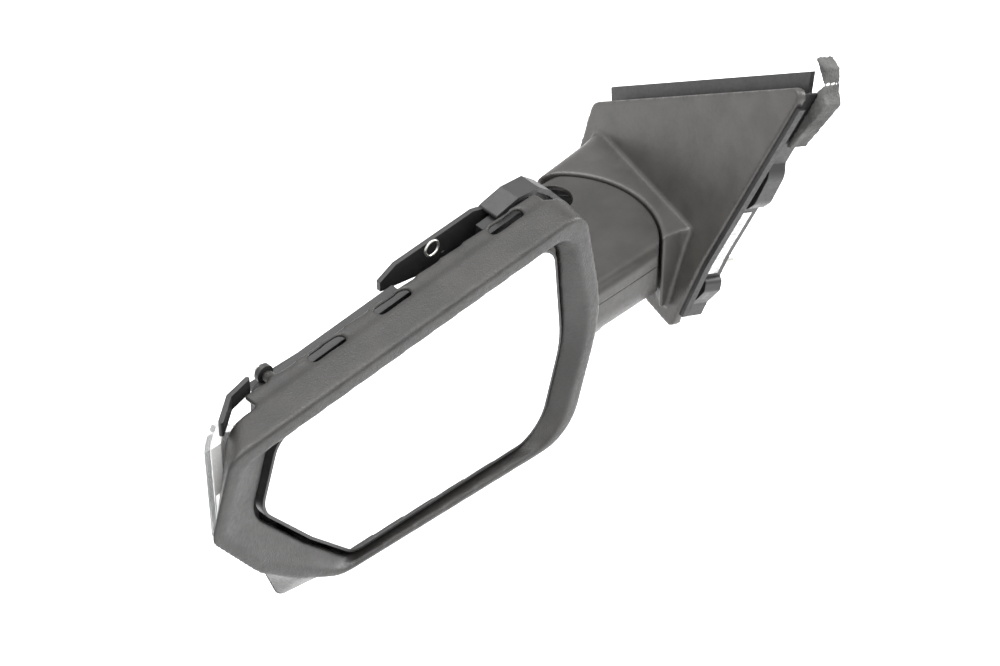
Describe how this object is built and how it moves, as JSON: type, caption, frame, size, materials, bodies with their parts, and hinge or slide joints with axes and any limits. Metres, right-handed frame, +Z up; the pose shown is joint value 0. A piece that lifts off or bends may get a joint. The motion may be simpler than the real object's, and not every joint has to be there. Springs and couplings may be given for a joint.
{
  "type": "car door mirror",
  "caption": "Left-hand power door mirror without its painted cap: sail base, folding neck, framed head, adjustable glass and wrap-round turn signal.",
  "frame": {"origin": "centre of the face that bolts to the door", "axes": "+X towards the car, +Y forwards, +Z up; the glass faces -Y"},
  "size_m": [0.3824, 0.1618, 0.1814],
  "materials": {
    "cover_plastic": "fine grain",
    "rim_plastic": "coarse grain fading to satin",
    "frame_plastic": "smooth black",
    "cast_alloy": "as cast",
    "zinc_steel": "zinc plated",
    "spring_steel": "oiled",
    "foam": "open-cell foam",
    "seal_rubber": "satin",
    "label_paper": "white, plain grey blocks",
    "lens_clear": "clear, moulded",
    "lamp_case": "satin",
    "circuit_board": "white solder mask",
    "mirror": "silvered",
    "heater_film": "printed film",
    "white_nylon": "natural nylon",
    "motor_can": "plated",
    "brass": "machined"
  },
  "bodies": {
    "base": {"base_bracket": "cast_alloy", "pivot_tube": "zinc_steel", "detent_ring": "spring_steel", "mounting_studs": "zinc_steel", "harness_grommet": "seal_rubber", "sail_cover": "cover_plastic", "base_inner_cover": "frame_plastic", "foam_gasket": "foam", "edge_seal": "seal_rubber", "corner_foam": "foam", "part_label": "label_paper"},
    "head": {"detent_cam": "spring_steel", "fold_spring": "spring_steel", "spring_washer": "zinc_steel", "neck_upper_cover": "cover_plastic", "neck_lower_cover": "cover_plastic", "head_frame": "frame_plastic", "bezel": "rim_plastic", "bezel_screws": "zinc_steel", "lower_cover": "cover_plastic", "corner_bracket": "lamp_case", "retaining_ring": "spring_steel", "signal_lens": "lens_clear", "signal_housing": "lamp_case", "signal_board": "circuit_board", "drive_housing": "frame_plastic", "drive_cover": "frame_plastic", "drive_screws": "zinc_steel", "tilt_worm": "brass", "pan_worm": "brass", "tilt_motor": "motor_can", "pan_motor": "motor_can"},
    "cross": {"pivot_cross": "white_nylon"},
    "glass": {"mirror_glass": "mirror", "heater_pad": "heater_film", "glass_holder": "frame_plastic"},
    "tilt_jack": {"tilt_jack": "white_nylon"},
    "pan_jack": {"pan_jack": "white_nylon"},
    "tilt_wheel": {"tilt_drive_wheel": "white_nylon"},
    "pan_wheel": {"pan_drive_wheel": "white_nylon"}
  },
  "joints": [
    {"name": "head_fold", "type": "hinge", "parent": "base", "child": "head", "pos_m": [-0.0875, 0.015, -0.033], "axis": [0, 0, 1], "range_deg": [-55, 65]},
    {"name": "glass_tilt", "type": "hinge", "parent": "head", "child": "cross", "pos_m": [-0.2335, -0.028, -0.011], "axis": [1, 0, 0], "range_deg": [-7, 7]},
    {"name": "glass_pan", "type": "hinge", "parent": "cross", "child": "glass", "pos_m": [-0.2335, -0.028, -0.011], "axis": [0, 0, 1], "range_deg": [-7, 7]},
    {"name": "tilt_jack_slide", "type": "slide", "parent": "head", "child": "tilt_jack", "axis": [0, 1, 0], "range_m": [-0.00324, 0.00324]},
    {"name": "pan_jack_slide", "type": "slide", "parent": "head", "child": "pan_jack", "axis": [0, 1, 0], "range_m": [-0.00324, 0.00324]},
    {"name": "tilt_wheel_spin", "type": "hinge", "parent": "head", "child": "tilt_wheel", "pos_m": [-0.2335, -0.0115, -0.037], "axis": [0, 1, 0], "range_deg": [-388.8, 388.8]},
    {"name": "pan_wheel_spin", "type": "hinge", "parent": "head", "child": "pan_wheel", "pos_m": [-0.2075, -0.0115, -0.011], "axis": [0, 1, 0], "range_deg": [-388.8, 388.8]}
  ],
  "couplings": [
    {"joint": "tilt_jack_slide", "follows": "glass_tilt", "m_per_rad": 0.026},
    {"joint": "pan_jack_slide", "follows": "glass_pan", "m_per_rad": 0.026},
    {"joint": "tilt_wheel_spin", "follows": "glass_tilt", "ratio": 54.454},
    {"joint": "pan_wheel_spin", "follows": "glass_pan", "ratio": 54.454}
  ]
}
